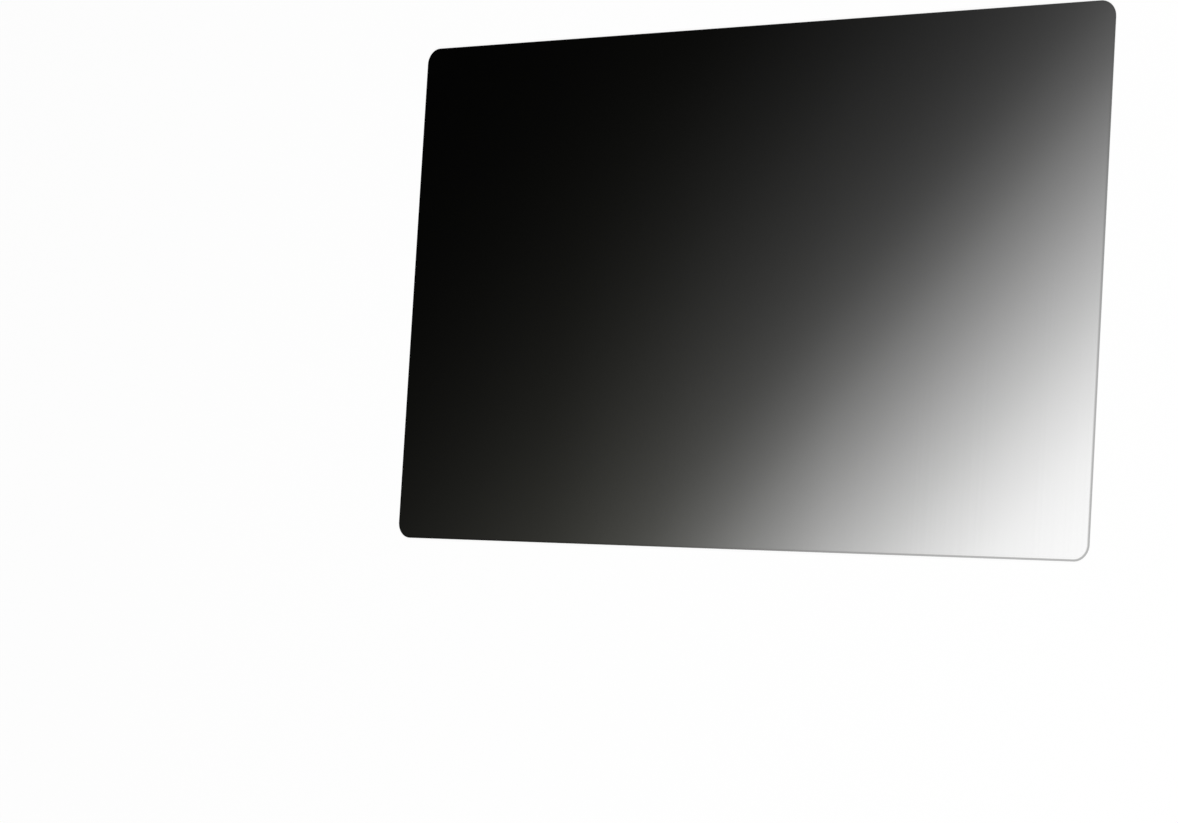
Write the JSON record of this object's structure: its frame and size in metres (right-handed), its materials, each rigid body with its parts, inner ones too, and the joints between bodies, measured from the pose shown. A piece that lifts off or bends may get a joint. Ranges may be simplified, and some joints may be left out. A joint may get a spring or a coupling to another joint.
{
  "type": "privacy filter",
  "caption": "Thin flat rectangular privacy filter sheet with rounded corners, laid over a laptop screen to darken it for anyone who looks from the side.",
  "frame": {"origin": "middle of the sheet's lower face, the face that goes against the screen", "axes": "+X along the sheet's width, +Y up its height as it hangs on a screen, +Z out of the face that the viewer sees"},
  "size_m": [0.3016, 0.1886, 0.0005],
  "materials": {
    "louvre_film": "satin see-through film, black where it cuts the view off and clear where it lets it through"
  },
  "bodies": {
    "root": {"filter_sheet": "louvre_film"}
  },
  "joints": []
}
